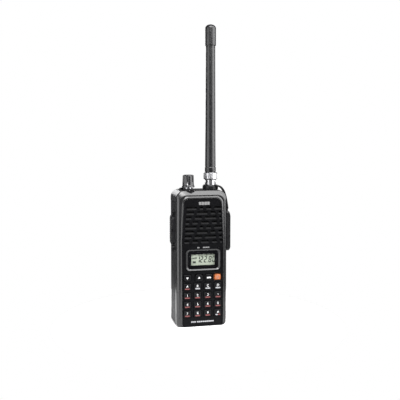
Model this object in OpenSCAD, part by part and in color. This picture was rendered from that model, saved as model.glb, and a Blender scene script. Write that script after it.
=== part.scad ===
// Handheld VHF two-way radio. Millimetres, +Z up, front face towards -Y, +X to the right of the user.
// The origin is on the base plane, under the middle of the body.

/* [Body] */
// Width over the side walls
body_w = 52.2; // [51.6:0.2:53]
// Depth from the front bezel to the back of the battery pack
body_d = 37; // [36.8:0.1:38]
// Height of the body, without the knob and the antenna
body_h = 139; // [139:0.5:140]
// Wall thickness of the plastic shells
wall = 1.8; // [1.6:0.1:2]
// Radius of the upright corners
corner_r = 5; // [4:0.5:6]
// Radius of the two shoulders
shoulder_r = 8; // [7:0.5:9]
// Radius of the two lower corners
foot_r = 3; // [2.5:0.5:4]
// Radius of the edges across the top and the bottom
edge_r = 2.5; // [2.2:0.1:3]

/* [Front panel] */
// Sideways position of the middle of the panel
panel_x = 0.6; // [0:0.1:0.6]
// Half width of the panel beside the keypad
panel_half_w = 21; // [20.9:0.1:21.4]
// Height of the top edge of the panel
panel_top = 132.5; // [131:0.5:133]
// Step from the bezel down to the loudspeaker panel
panel_step = 0.8; // [0.6:0.1:0.9]
// Height of the step between the loudspeaker panel and the keypad panel
lower_top = 85.5; // [85:0.1:86]
// Number of rows of grille slots
grille_rows = 8; // [6:1:8]
// Spacing of the grille rows
grille_pitch = 4.84; // [4.7:0.02:4.9]

/* [Display] */
// Width of the display window
window_w = 31.4; // [30:0.2:32]
// Height of the display window
window_h = 18.5; // [18:0.1:18.8]
// Sideways position of the middle of the display
window_x = 1.2; // [0:0.1:1.4]
// Height of the middle of the display above the base
window_z = 68.8; // [68.6:0.1:69.4]

/* [Keypad] */
// Sideways position of the middle of the four key columns
key_x0 = 0.6; // [0:0.1:0.8]
// Spacing of the key columns
key_px = 10.65; // [10.5:0.05:10.7]
// Spacing of the key rows
key_pz = 9.33; // [9.2:0.01:9.4]
// Height of the middle of the lowest key row
key_z0 = 13.5; // [13.4:0.05:14.2]
// Width of a key cap
key_w = 7.6; // [7:0.1:7.8]
// Height of a key cap
key_h = 6.4; // [6:0.1:6.6]
// Travel of a front key
key_travel = 0.7; // [0.5:0.1:0.7]

/* [Controls and antenna] */
// Diameter of the foot of the volume knob
knob_d = 12.8; // [12.4:0.1:13.2]
// Height of the top of the volume knob
knob_top = 154.5; // [154:0.5:156]
// Height of the tip of the antenna
antenna_top = 305.8; // [290:0.1:320]
// Diameter of the whip at its foot
whip_d = 10.9; // [10:0.1:11]
// Bore of the microphone jack
mic_jack_d = 2.6; // [2.6:0.1:2.7]
// Bore of the loudspeaker jack
speaker_jack_d = 3.6; // [3.6:0.1:3.7]

/* [Hidden] */

$fn = 64;
BLACK = [0.09, 0.09, 0.1];
GREY = [0.2, 0.2, 0.22];
RUBBER = [0.05, 0.05, 0.055];
CHROME = [0.82, 0.83, 0.85];
STEEL = [0.6, 0.61, 0.63];
BRASS = [0.8, 0.66, 0.35];
BOARD = [0.08, 0.3, 0.16];
GLASS = [0.25, 0.28, 0.26, 0.5];
LCD = [0.72, 0.77, 0.68];
ORANGE = [0.92, 0.5, 0.2];

eps = 0.01;
big = 400;
front_y = -body_d / 2;            // bezel crest
back_y = body_d / 2;
panel_y = front_y + panel_step;   // loudspeaker panel
lower_y = front_y + 1.2;          // keypad panel
inner_y = front_y + 3;            // inside of the front wall
seam_front = -8.6;                // the front case ends here
seam_back = -6.6;                 // the chassis wings start here
cap_z = 127.4;                    // underside of the top part of the front case
chassis_top = 127;
wing_back = 8;                    // back edge of the chassis wings
shelf_z = 112;                    // underside of the chassis above the battery pack
pack_front = -0.7;
pack_top = shelf_z - 0.3;
lid_y = 15.5;                     // front of the battery lid
screw_x = 21.6;
screw_z = [4.8, 122.6];
pot_pos = [-11.8, -6];
jack_pos = [12.8, 0];
gap = 0.3;                        // clearance between pieces that move
side_x = body_w / 2;

key_names = [
    ["key_7", "key_8", "key_9", "key_hash"],
    ["key_4", "key_5", "key_6", "key_0"],
    ["key_1", "key_2", "key_3", "key_star"],
    ["key_a", "key_b", "key_c", "key_d"]
];
top_row_z = key_z0 + 3 * key_pz + 9.1;
// name, position and width of the keys of the top row
top_keys = [["key_down", -15.3, 7.2], ["key_up", -3.1, 7.6], ["key_band", 7.0, 6.8], ["key_power", 16.3, 7.2]];
key_back_y = inner_y + 1;         // back face of a key's flange
mic_pos = [17.9, 80.9];

// ---------- shared shapes ----------

module rounded_rect(w, h, r) {
    square([w - 2 * r, h], center = true);
    square([w, h - 2 * r], center = true);
    for (sx = [-1, 1], sy = [-1, 1])
        translate([sx * (w / 2 - r), sy * (h / 2 - r)])
            circle(r);
}

// a plate whose outline lies in the XZ plane, from y to y + depth
module plate_y(y, depth) {
    translate([0, y + depth, 0])
        rotate([90, 0, 0])
            linear_extrude(depth)
                children();
}

// an outline in the YZ plane, from x to x + width
module plate_x(x, width) {
    translate([x, 0, 0])
        rotate([90, 0, 90])
            linear_extrude(width)
                children();
}

module box(low, high) {
    translate(low)
        cube(high - low);
}

module rod_y(x, z, y, depth, r) {
    translate([x, y, z])
        rotate([-90, 0, 0])
            cylinder(h = depth, r = r);
}

module rod_x(y, z, x, width, r) {
    translate([x, y, z])
        rotate([0, 90, 0])
            cylinder(h = width, r = r);
}

module outline_front(i) {
    w = side_x - i;
    rt = shoulder_r - i;
    rb = foot_r - i;
    translate([-w, foot_r])
        square([2 * w, body_h - shoulder_r - foot_r]);
    translate([-w + rt, body_h - shoulder_r - eps])
        square([2 * (w - rt), rt + eps]);
    translate([-w + rb, i])
        square([2 * (w - rb), rb + eps]);
    for (s = [-1, 1]) {
        translate([s * (w - rt), body_h - shoulder_r])
            circle(rt);
        translate([s * (w - rb), foot_r])
            circle(rb);
    }
}

// the whole outer form of the body, shrunk by i on every side
module body_block(i) {
    intersection() {
        plate_y(-big / 2, big)
            outline_front(i);
        translate([0, 0, -10])
            linear_extrude(big)
                rounded_rect(body_w - 2 * i, body_d - 2 * i, corner_r - i);
        plate_x(-big / 2, big)
            translate([0, body_h / 2])
                rounded_rect(body_d - 2 * i, body_h - 2 * i, edge_r - i);
    }
}

// a coil along +Z from the origin: one swept tube
module coil(r, wire, height, turns, steps = 14, sides = 6) {
    n = turns * steps;
    points = [
        for (i = [0:n], j = [0:sides - 1])
            let (a = 360 * i / steps, b = 360 * j / sides, q = r + wire / 2 * cos(b))
                [q * cos(a), q * sin(a), wire / 2 + (height - wire) * i / n + wire / 2 * sin(b)]
    ];
    rings = [
        for (i = [0:n - 1], j = [0:sides - 1])
            let (k = (j + 1) % sides)
                [i * sides + j, i * sides + k, (i + 1) * sides + k, (i + 1) * sides + j]
    ];
    start = [for (j = [sides - 1:-1:0]) j];
    end = [for (j = [0:sides - 1]) n * sides + j];
    polyhedron(points, concat([start, end], rings), convexity = 8);
}

// ---------- front case ----------

module panel_outline() {
    r = 6.2;
    top_w = 19.2;
    low_z = 0.9;
    translate([panel_x, 0]) {
        polygon([
            [-panel_half_w, low_z], [panel_half_w, low_z], [panel_half_w, 88],
            [top_w, panel_top - r], [-top_w, panel_top - r], [-panel_half_w, 88]
        ]);
        translate([-top_w + r, panel_top - r - eps])
            square([2 * (top_w - r), r + eps]);
        for (s = [-1, 1])
            translate([s * (top_w - r), panel_top - r])
                circle(r);
    }
}

module lower_outline() {
    r = 5;
    w = 20.7;
    low_z = 1.6;
    translate([panel_x, 0]) {
        translate([-w, low_z])
            square([2 * w, lower_top - r - low_z]);
        translate([-w + r, lower_top - r - eps])
            square([2 * (w - r), r + eps]);
        for (s = [-1, 1])
            translate([s * (w - r), lower_top - r])
                circle(r);
    }
}

// slots of the grille, in rows whose bridges step sideways from row to row
module grille_slots() {
    breaks = [[-4.1, 2.5, 11.1], [-6.9, 7.2, 15.3], [-9.3, 1.4, 16.2], [-11.6, -2.7, 8.6, 17]];
    bridge = 3.5;
    slot_h = 1.7;
    left = -15.8;
    right = 19.4;
    // the rows grow longer towards the display
    left_growth = 0.32;
    right_growth = 0.2;
    top_slot_z = 122.4;
    for (row = [0:grille_rows - 1]) {
        cuts = breaks[row % 4];
        starts = concat([left - row * left_growth], [for (c = cuts) c + bridge / 2]);
        ends = concat([for (c = cuts) c - bridge / 2], [right + row * right_growth]);
        for (k = [0:len(starts) - 1])
            translate([(starts[k] + ends[k]) / 2, top_slot_z - row * grille_pitch])
                square([ends[k] - starts[k], slot_h], center = true);
    }
}

// the raised collar that guards the volume knob, open towards the front
module knob_guard() {
    guard_top = body_h + 2.3;
    translate([pot_pos.x, pot_pos.y, body_h - 3])
        intersection() {
            difference() {
                cylinder(h = guard_top - body_h + 3, r = 9.4);
                translate([0, 0, -1])
                    cylinder(h = 10, r = 7.4);
            }
            box([-12, -2.5, -1], [2, 12, 10]);
        }
}

module screw_posts() {
    for (s = [-1, 1], z = screw_z)
        difference() {
            rod_y(s * screw_x, z, inner_y - eps, seam_back - inner_y - 0.4, 2.2);
            rod_y(s * screw_x, z, inner_y + 3, 20, 1.05);
        }
}

module window_seat() {
    translate([window_x, window_z])
        rounded_rect(window_w + 0.2, window_h + 0.2, 2.5);
}

// the raised frame round the display window
module display_frame() {
    difference() {
        translate([window_x, window_z])
            rounded_rect(36, 21.6, 4);
        window_seat();
    }
}

module front_case() {
    color(BLACK)
    difference() {
        union() {
            difference() {
                body_block(0);
                intersection() {
                    body_block(wall);
                    box([-big, inner_y, -big], [big, big, big]);
                }
                // everything behind the seam and under the top part belongs to the chassis
                box([-big, seam_front, -big], [big, big, cap_z]);
            }
            intersection() {
                screw_posts();
                body_block(1);
            }
            plate_y(lower_y - 1.0, 1.1)
                display_frame();
            knob_guard();
            // rib that carries the front end of the latch spring
            box([-4, -11.2, wall - eps], [4, -9.8, 7]);
        }
        difference() {
            plate_y(front_y - 1, 1 + panel_step)
                panel_outline();
            plate_y(lower_y - 1.0, 1)
                display_frame();
        }
        difference() {
            plate_y(front_y - 1, 1 + lower_y - front_y)
                lower_outline();
            plate_y(front_y - 2, 4)
                display_frame();
        }
        plate_y(panel_y - 1, 5)
            grille_slots();
        // window seat and the opening behind it
        plate_y(front_y - 1, 2.25)
            window_seat();
        plate_y(front_y, 4)
            translate([window_x, window_z])
                square([27.5, 14], center = true);
        plate_y(front_y, 4)
            key_openings();
        // microphone hole
        rod_y(mic_pos.x, mic_pos.y, front_y - 1, 6, 0.6);
        // volume pot, its dish and the antenna socket
        translate([pot_pos.x, pot_pos.y, body_h - 5])
            cylinder(h = 8, r = 3.6);
        translate([pot_pos.x, pot_pos.y, body_h])
            cylinder(h = 8, r = 7.2);
        translate([jack_pos.x, jack_pos.y, body_h - 5])
            cylinder(h = 8, r = 4.8);
        // jack noses in the right wall
        for (z = jack_z)
            rod_x(jack_y, z, 20, 10, 2.7);
    }
}

function key_x(col) = key_x0 + (col - 1.5) * key_px;

module key_openings() {
    play = 0.8;
    for (row = [0:3], col = [0:3])
        translate([key_x(col), key_z0 + row * key_pz])
            rounded_rect(key_w + play, key_h + play, 1.5);
    for (k = top_keys)
        translate([k[1], top_row_z])
            rounded_rect(k[2] + play, key_h + play, 1.5);
}

// ---------- display, loudspeaker, microphone ----------

module display_window() {
    color(GLASS)
    plate_y(front_y + 0.05, 1.2)
        translate([window_x, window_z])
            rounded_rect(window_w, window_h, 2.4);
}

module lcd_panel() {
    color(LCD)
    plate_y(inner_y + 0.1, 1.6)
        translate([window_x, window_z])
            square([29, 15.6], center = true);
}

module light_guide() {
    color("white")
    plate_y(inner_y + 1.7, 1)
        translate([window_x, window_z])
            square([29, 15.6], center = true);
}

module speaker_mesh() {
    color(RUBBER)
    plate_y(inner_y, 0.3) {
        translate([-19.3, 86.5])
            square([38.6, 38]);
        translate([0.7, 102.5])
            square([42.4, 32], center = true);
    }
}

module speaker() {
    color(STEEL)
    translate([-4, inner_y + 0.35, 106])
        rotate([-90, 0, 0])
            rotate_extrude()
                polygon([
                    [0, 1.2], [4, 1.2], [5, 2.6], [12.5, 0.9], [13, 0], [15.5, 0], [15.5, 1.4],
                    [13.6, 1.6], [10.5, 3.6], [8, 3.8], [8, 6.6], [0, 6.6]
                ]);
}

module microphone() {
    color(STEEL)
    difference() {
        rod_y(mic_pos.x, mic_pos.y, inner_y, 2.6, 3);
        rod_y(mic_pos.x, mic_pos.y, inner_y - 1, 1.4, 1.6);
    }
}

// ---------- keypad and boards ----------

module keypad_mat() {
    sheet_y = -13.5;
    color(GREY) {
        plate_y(sheet_y, 0.6)
            translate([0, (8.2 + 56.4) / 2])
                rounded_rect(43, 56.4 - 8.2, 2);
        for (row = [0:3], col = [0:3])
            rod_y(key_x(col), key_z0 + row * key_pz, sheet_y - 0.2, 0.3, 2);
        for (k = top_keys)
            rod_y(k[1], top_row_z, sheet_y - 0.2, 0.3, 2);
    }
}

module logic_board() {
    color(BOARD) {
        box([-22.5, -12.7, 8], [22.5, -11.7, 84.8]);
        // processor and the header to the main board
        box([-9, -11.7 - eps, 30], [5, -10.2, 44]);
        box([-12, -11.7 - eps, 14], [8, -5.6, 19]);
    }
}

module main_board() {
    color(BOARD)
    box([-19.4, -5.6, 8], [22.8, -4.4, 119.5]);
    // shield cans and the regulator, soldered to the board
    color(STEEL) {
        box([-16, -9, 48], [4, -5.6 + eps, 78]);
        box([7, -8.4, 26], [20, -5.6 + eps, 60]);
        box([-14, -4.4 - eps, 92], [6, -3.3, 112]);
    }
}

module case_seal() {
    color(RUBBER)
    plate_y(seam_front, seam_back - seam_front)
        difference() {
            intersection() {
                outline_front(1.0);
                translate([-30, 0])
                    square([60, 126.6]);
            }
            intersection() {
                outline_front(2.2);
                translate([-30, 0])
                    square([60, 125.4]);
            }
        }
}

module case_screws() {
    color(STEEL)
    for (s = [-1, 1], z = screw_z)
        difference() {
            union() {
                rod_y(s * screw_x, z, -11.6, 10, 1.0);
                rod_y(s * screw_x, z, -2.3, 1.2, 1.9);
            }
            translate([s * screw_x, -1.6, z])
                for (a = [0, 90])
                    rotate([0, a, 0])
                        cube([2.2, 1.4, 0.5], center = true);
        }
}

// ---------- chassis ----------

module ptt_outline(grow) {
    rounded_rect(11 + 2 * grow, 27 + 2 * grow, 3 + grow);
}

ptt_pos = [1.3, 98];              // y, z of the middle of the talk button
func_pos = [-2.9, 116.4];
monitor_pos = [-2.9, 79.6];

module oval_outline(grow) {
    rounded_rect(5.8 + 2 * grow, 5.2 + 2 * grow, 2 + grow);
}

module chassis_shell() {
    difference() {
        body_block(0);
        body_block(2);
        box([-big, -big, -big], [big, seam_back, big]);
        box([-big, -big, chassis_top], [big, big, big]);
        // room for the battery pack
        box([-big, wing_back, -big], [big, big, shelf_z]);
        box([-24.1, pack_front - gap, -big], [24.1, big, shelf_z]);
    }
}

module chassis() {
    color(GREY)
    difference() {
        union() {
            chassis_shell();
            intersection() {
                body_block(1);
                union() {
                    box([-big, -3, 0], [big, -1, chassis_top - 0.4]);
                    box([-big, -3, shelf_z], [big, back_y - 1, shelf_z + 2]);
                }
            }
            // pod around the talk button
            plate_x(-side_x - 2.1, 4)
                translate(ptt_pos)
                    ptt_outline(1.3);
            // posts for the main board and round the case screws
            for (x = [-16, 16], z = [24, 88])
                rod_y(x, z, -4.4, 1.5, 2.2);
            for (s = [-1, 1], z = screw_z)
                rod_y(s * screw_x, z, seam_back - 0.3, 4.3, 2.2);
        }
        plate_x(-side_x - 3, 2)
            translate(ptt_pos)
                ptt_outline(gap);
        plate_x(-side_x - 1.1, 2.4)
            translate(ptt_pos)
                ptt_outline(0.9);
        for (p = [func_pos, monitor_pos])
            plate_x(-side_x - 3, 4.2)
                translate(p)
                    oval_outline(gap);
        // ways through the wing for the three plungers
        for (z = [98, func_pos.y, monitor_pos.y])
            rod_x(-4.7, z, -side_x - 3, 6, 1.4);
        // screw holes with sunk heads, guide holes for the battery pack, slot for the contacts
        for (s = [-1, 1], z = screw_z) {
            rod_y(s * screw_x, z, -8, 8, 1.1);
            rod_y(s * screw_x, z, -2.4, 4, 2.1);
        }
        for (s = [-1, 1])
            rod_y(s * 17, 100, -4, 4, 2.05);
        box([-13, -4, 13], [13, 0, 19]);
        // ways for the latch tongue and its thumb piece
        box([-4.3, -4, 2.9], [4.3, 0, 5.1]);
        box([-3.8, -6.2, -1], [3.8, -3.1, 3]);
        // screws of the top part reach the volume pot and the antenna socket from here
        box([-18.4, -3.2, 121.5], [18.6, 6, chassis_top + 1]);
    }
}

// ---------- top controls ----------

module volume_pot() {
    color(STEEL)
    translate([pot_pos.x, pot_pos.y, 0])
        difference() {
            union() {
                translate([-6, -5.8, 129])
                    cube([12, 8.6, 8.1]);
                cylinder_at(137, 6.4, 3.4);
                translate([-5, 0.6, 124.2])
                    cube([10, 0.8, 4.9]);
            }
            cylinder_at(131, 20, 3.05);
        }
}

module cylinder_at(z, h, r) {
    translate([0, 0, z])
        cylinder(h = h, r = r);
}

module volume_shaft() {
    color(STEEL)
    translate([pot_pos.x, pot_pos.y, 0])
        difference() {
            cylinder_at(131.2, 20.8, 3);
            box([-4, 1.6, 144.4], [4, 4, 160]);
        }
}

module volume_knob() {
    taper = 0.85;
    r = knob_d / 2;
    foot = body_h + 2.8;
    color(BLACK)
    translate([pot_pos.x, pot_pos.y, 0])
        difference() {
            rotate_extrude()
                polygon([
                    [0, foot], [r, foot], [r, foot + 1.6], [r - 0.5, foot + 2.2],
                    [r - taper, knob_top - 1], [r - taper - 1, knob_top], [0, knob_top]
                ]);
            cylinder_at(foot - 1, 3.2, 5.4);
            difference() {
                cylinder_at(foot, 10.2, 3.05);
                box([-4, 1.65, foot + 3], [4, 4, foot + 12]);
            }
            for (k = [0:9])
                rotate([0, 0, 36 * k])
                    translate([r + 0.55, 0, foot + 2.6])
                        cylinder(h = 12, r = 1.15, $fn = 24);
        }
}

module top_nuts() {
    color(STEEL) {
        translate([pot_pos.x, pot_pos.y, body_h])
            difference() {
                cylinder(h = 1.9, r = 5.1, $fn = 6);
                translate([0, 0, -1])
                    cylinder(h = 4, r = 3.45);
            }
        translate([jack_pos.x, jack_pos.y, body_h])
            difference() {
                cylinder(h = 2, r = 6.2, $fn = 6);
                translate([0, 0, -1])
                    cylinder(h = 4, r = 4.72);
            }
    }
}

// ---------- antenna ----------

lug_z = 147.2;
ring_turn = 80;                   // how far the coupling ring turns to unlock

module at_jack() {
    translate([jack_pos.x, jack_pos.y, 0])
        children();
}

module antenna_jack() {
    color(CHROME)
    at_jack()
        difference() {
            union() {
                rotate_extrude()
                    polygon([
                        [0, 129], [4.6, 129], [4.6, 134.6], [5.3, 134.6], [5.3, 137.2],
                        [4.7, 137.2], [4.7, 141.2], [4.8, 141.2], [4.8, 151.5], [4.1, 151.5],
                        [4.1, 145], [1.2, 145], [1.2, 149.5], [0.7, 149.5], [0.7, 145.4], [0, 145.4]
                    ]);
                for (a = [35, 215])
                    rotate([0, 0, a])
                        translate([4.4, 0, lug_z])
                            rotate([0, 90, 0])
                                cylinder(h = 1.05, r = 1);
                cylinder_at(124, 6, 0.6);
            }
        }
}

module antenna_plug() {
    color(CHROME)
    at_jack()
        rotate_extrude()
            polygon([
                [0, 146.2], [0.6, 146.2], [0.6, 152], [3.3, 152], [3.3, 145.8], [3.95, 145.8],
                [3.95, 152], [4.9, 152], [4.9, 153], [5.9, 153], [5.9, 154.5], [4.9, 154.5],
                [4.9, 156.4], [4.6, 156.8], [4.6, 162.6], [1.6, 163.2], [1.6, 296], [0, 296]
            ]);
}

module coupling_ring() {
    low = 144.4;
    knurl_low = 149.6;
    top = 156.3;
    color(CHROME)
    at_jack()
        difference() {
            rotate_extrude()
                polygon([
                    [5.0, low], [5.6, low], [5.6, knurl_low - 0.6], [6.4, knurl_low],
                    [7.1, knurl_low + 0.5], [7.1, top - 0.5], [6.6, top], [5.15, top],
                    [5.15, 154.8], [6.1, 154.8], [6.1, 152.7], [5.0, 152.7]
                ]);
            for (k = [0:29])
                rotate([0, 0, 12 * k])
                    translate([7.35, 0, knurl_low + 0.9])
                        cylinder(h = top - knurl_low - 1.8, r = 0.5, $fn = 16);
            // bayonet slots: the lugs sit at one end and leave downwards at the other
            for (a = [35, 215]) {
                rotate([0, 0, a - ring_turn])
                    bayonet_cut(-13, ring_turn + 26, lug_z - 1.15, lug_z + 1.15);
                rotate([0, 0, a - ring_turn])
                    bayonet_cut(-13, 26, low - 1, lug_z + 1.15);
            }
        }
}

module bayonet_cut(start, sweep, z0, z1) {
    rotate([0, 0, start])
        rotate_extrude(angle = sweep)
            translate([4.7, z0])
                square([1.6, z1 - z0]);
}

module antenna_whip() {
    r = whip_d / 2;
    top = antenna_top - 6.8;
    color(RUBBER)
    at_jack()
        rotate_extrude()
            polygon([
                [4.75, 156.8], [5.6, 156.8], [5.7, 161.4], [5.4, 162], [r, 163.4],
                [4.9, 230], [4.75, 280], [4.7, 284], [4.7, top], [1.75, top],
                [1.75, 163.6], [4.75, 163.6]
            ]);
}

module antenna_cap() {
    low = antenna_top - 21.2;
    color(RUBBER)
    at_jack()
        rotate_extrude()
            polygon([
                [4.76, low], [5.3, low], [5.52, low + 0.6], [5.52, antenna_top - 4],
                [5.1, antenna_top - 2], [3.6, antenna_top - 0.7], [1.6, antenna_top - 0.1],
                [0, antenna_top], [0, antenna_top - 6.6], [4.76, antenna_top - 6.6]
            ]);
}

// ---------- jacks and their cover ----------

strap_y = [-9.6, -4.6];           // edges of the strap
hinge_pos = [29.2, 118.6];        // x, z of the thin rubber hinge
strap_thick = 1.7;
// the strap's middle line from the ring round the antenna down to the hinge, as a Bezier curve
strap_line = [[16.5, 143], [24.5, 143.4], [27, 136.5], hinge_pos];

function bezier(p, t) =
    pow(1 - t, 3) * p[0] + 3 * t * pow(1 - t, 2) * p[1] + 3 * t * t * (1 - t) * p[2] + pow(t, 3) * p[3];
function heading(p, t) =
    let (d = bezier(p, t + 0.001) - bezier(p, t - 0.001)) d / norm(d);
function beside(p, t, off) =
    let (h = heading(p, t)) bezier(p, t) + off * [-h.y, h.x];

module cover_strap() {
    steps = 14;
    color(RUBBER) {
        at_jack()
            rotate_extrude()
                polygon([
                    [6.35, body_h + 0.02], [8.05, body_h + 0.02], [8.05, 143.2], [7.5, 143.9],
                    [5.2, 143.9], [5.2, 141.3], [6.35, 141.3]
                ]);
        difference() {
            plate_y(strap_y[0], strap_y[1] - strap_y[0])
                polygon(concat(
                    [for (i = [0:steps]) beside(strap_line, i / steps, strap_thick / 2)],
                    [for (i = [steps:-1:0]) beside(strap_line, i / steps, -strap_thick / 2)]
                ));
            at_jack()
                cylinder_at(130, 20, 7.2);
        }
    }
}

jack_y = -11.4;
jack_z = [91.2, 101.2];           // microphone jack, loudspeaker jack
jacks = [[jack_z[0], mic_jack_d], [jack_z[1], speaker_jack_d]];
mouth_depth = 2.4;                // the wide mouth of each jack
cover_y = -9.4;                   // middle of the jack cover
cover_w = 10.4;
cover_low = 76.5;
cover_high = 116;

module jack_cover() {
    color(RUBBER) {
        intersection() {
            plate_x(side_x + 0.25, 4.4)
                translate([cover_y, (cover_low + cover_high + 2) / 2])
                    rounded_rect(cover_w, cover_high + 2 - cover_low, 3);
            plate_y(-20, 20)
                polygon([
                    [20, cover_low - 1], [28.6, cover_low - 1], [29.6, cover_low + 0.8],
                    [30.6, cover_low + 4], [30.6, 112.4], [29.9, 115.6], [29, 117.4], [20, 117.4]
                ]);
        }
        // plugs that sit in the wide mouths of the jacks
        for (j = jacks)
            rod_x(jack_y, j[0], side_x - 2.2, 3, j[1] / 2 - 0.2);
    }
}

module jack_sockets() {
    color(BLACK)
    difference() {
        union() {
            box([12.3, jack_y - 2.6, 86.6], [24.2, jack_y + 2.6, 106.2]);
            for (z = jack_z)
                rod_x(jack_y, z, 24, side_x - 24, 2.6);
        }
        for (j = jacks) {
            rod_x(jack_y, j[0], 13.1, 20, j[1] / 2);
            rod_x(jack_y, j[0], side_x - mouth_depth, 5, j[1] / 2 + 0.5);
        }
    }
}

// ---------- side buttons ----------

module side_switches() {
    color(BOARD)
    box([-20.8, -6.4, 74], [-20, -3.2, 119.4]);
    color(STEEL)
    for (z = [98, func_pos.y, monitor_pos.y]) {
        box([-23, -6.2, z - 2.4], [-20.8 + eps, -3.3, z + 2.4]);
        rod_x(-4.7, z, -23.7, 0.9, 0.8);
    }
}

module ptt_button() {
    skin = side_x + 2.7;
    color(RUBBER) {
        difference() {
            union() {
                plate_x(-skin, 1.9)
                    translate(ptt_pos)
                        ptt_outline(0);
                plate_x(-side_x - 0.95, 0.9)
                    translate(ptt_pos)
                        ptt_outline(0.5);
            }
            for (k = [-6:6])
                box([-skin - 1, -20, ptt_pos.y + k * 1.9 - 0.35], [-skin + 0.45, 20, ptt_pos.y + k * 1.9 + 0.35]);
        }
        rod_x(-4.7, 98, -side_x - 0.5, 1.45, 1.1);
    }
}

module small_key(pos) {
    plate_x(-side_x - 1.9, 1.9)
        translate(pos)
            oval_outline(0);
    rod_x(-4.7, pos.y, -side_x - 0.5, 1.5, 1.1);
    for (dz = [-1.4, 0, 1.4])
        box([-side_x - 2.2, pos.x - 2, pos.y + dz - 0.35], [-side_x - 1.8, pos.x + 2, pos.y + dz + 0.35]);
}

module func_key() {
    color(RUBBER)
    small_key(func_pos);
}

module monitor_key() {
    color(RUBBER)
    small_key(monitor_pos);
}

// ---------- battery pack ----------

module pack_form(i) {
    intersection() {
        body_block(i);
        union() {
            box([-23.8 + i, pack_front + i, i], [23.8 - i, lid_y, pack_top - i]);
            box([-big, wing_back + gap + i, i], [big, lid_y, pack_top - i]);
        }
    }
}

module battery_case() {
    color(BLACK)
    difference() {
        union() {
            difference() {
                pack_form(0);
                intersection() {
                    box([-22.6, pack_front + 1.2, 1.5], [22.6, lid_y + 1, pack_top - 1.5]);
                    body_block(1);
                }
            }
            // guide pegs that find their holes in the chassis
            for (s = [-1, 1])
                rod_y(s * 17, 100, -2.2, 2, 1.8);
        }
        // pocket for the latch tongue, seats for the contact pads
        box([-4.4, pack_front - 1, 2.8], [4.4, 0.2, 5.2]);
        for (x = [-9, -3, 3, 9])
            rod_y(x, 16, pack_front - 1, 3, 1.7);
    }
}

module battery_lid() {
    color(BLACK)
    difference() {
        intersection() {
            body_block(0);
            box([-big, lid_y, 0], [big, big, pack_top]);
        }
        box([-20, lid_y - 1, 6], [20, lid_y + 1.2, 84]);
    }
}

module battery_cells() {
    cell_r = 7.1;
    color("steelblue")
    for (x = [-14.8, 0, 14.8], z = [4.6, 55.4])
        translate([x, 8, z])
            rotate_extrude()
                polygon([
                    [0, 0], [cell_r - 0.6, 0], [cell_r, 0.6], [cell_r, 48.2], [cell_r - 0.6, 48.8],
                    [2.6, 48.8], [2.6, 50.2], [0, 50.2]
                ]);
}

module battery_terminals() {
    color(BRASS) {
        for (x = [-9, -3, 3, 9])
            rod_y(x, 16, pack_front, 1.3, 1.6);
        for (x = [-14.8, 0, 14.8]) {
            box([x - 5.5, 2.5, 1.5], [x + 5.5, 13.5, 1.9]);
            box([x - 5.5, 2.5, 106], [x + 5.5, 13.5, 106.4]);
            translate([x, 8, 1.85])
                coil(3, 0.6, 2.7, 3);
        }
    }
}

module contact_pins() {
    color(RUBBER)
    box([-12.8, -4.4, 13.2], [12.8, -1.2, 18.8]);
    color(BRASS)
    for (x = [-9, -3, 3, 9])
        rod_y(x, 16, -2, 1.1, 0.8);
}

module battery_latch() {
    color(GREY) {
        box([-7, -5.6, 2.5], [7, -3.3, 5.4]);
        box([-4, -3.4, 3.2], [4, -0.1, 4.8]);
        box([-3.4, -4.5, 0.5], [3.4, -3.5, 2.6]);
    }
}

module latch_spring() {
    color(STEEL)
    translate([0, -5.6, 4])
        rotate([90, 0, 0])
            coil(1.1, 0.4, 4.2, 5);
}

// ---------- belt clip ----------

clip_hinge = [23, 97];            // y, z of the hinge pin
clip_half_w = 8.4;

module clip_bracket() {
    color(STEEL)
    difference() {
        union() {
            plate_y(back_y, 1.2)
                translate([0, 96])
                    rounded_rect(24, 22, 2);
            for (s = [-1, 1])
                plate_x(s * 10.4 - 0.7, 1.4)
                    hull() {
                        translate(clip_hinge)
                            circle(2.6, $fn = 32);
                        translate([back_y + 0.4, clip_hinge.y])
                            square([0.8, 11], center = true);
                    }
        }
        rod_x(clip_hinge.x, clip_hinge.y, -20, 40, 1.27);
    }
    // two rivets
    color(STEEL)
    for (s = [-1, 1])
        rod_y(s * 6, 88, back_y + 1.1, 0.7, 1.7);
}

module clip_pin() {
    color(STEEL) {
        rod_x(clip_hinge.x, clip_hinge.y, -11.6, 23.2, 1.22);
        for (s = [-1, 1])
            rod_x(clip_hinge.x, clip_hinge.y, s * 11.5 - 0.4, 0.8, 1.8);
    }
}

module clip_spring() {
    color(STEEL)
    difference() {
        translate([-3.4, clip_hinge.x, clip_hinge.y])
            rotate([0, 90, 0])
                coil(1.95, 0.7, 6.8, 7);
        rod_x(clip_hinge.x, clip_hinge.y, -20, 40, 1.3);
    }
}

module belt_clip() {
    tongue_y = clip_hinge.x + 1.9;
    color(GREY)
    difference() {
        union() {
            // tongue, thumb plate and the hooked lower end, as one side outline
            plate_x(-clip_half_w, 2 * clip_half_w)
                polygon([
                    [tongue_y, 110], [tongue_y, 46], [tongue_y - 5, 39.5], [tongue_y - 5, 37.5],
                    [tongue_y - 3.6, 36.6], [tongue_y + 1.6, 44], [tongue_y + 1.6, 111], [tongue_y + 0.4, 111]
                ]);
            for (s = [-1, 1])
                plate_x(s * (clip_half_w - 0.8) - 0.8, 1.6)
                    hull() {
                        translate(clip_hinge)
                            circle(2.3, $fn = 32);
                        translate([tongue_y + 0.8, clip_hinge.y])
                            square([1.4, 9], center = true);
                    }
        }
        rod_x(clip_hinge.x, clip_hinge.y, -20, 40, 1.28);
        // the tongue is cut back beside the coil
        box([-4.2, tongue_y - 2, 93.6], [4.2, tongue_y + 0.9, 100.4]);
    }
}

// ---------- keys ----------

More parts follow.
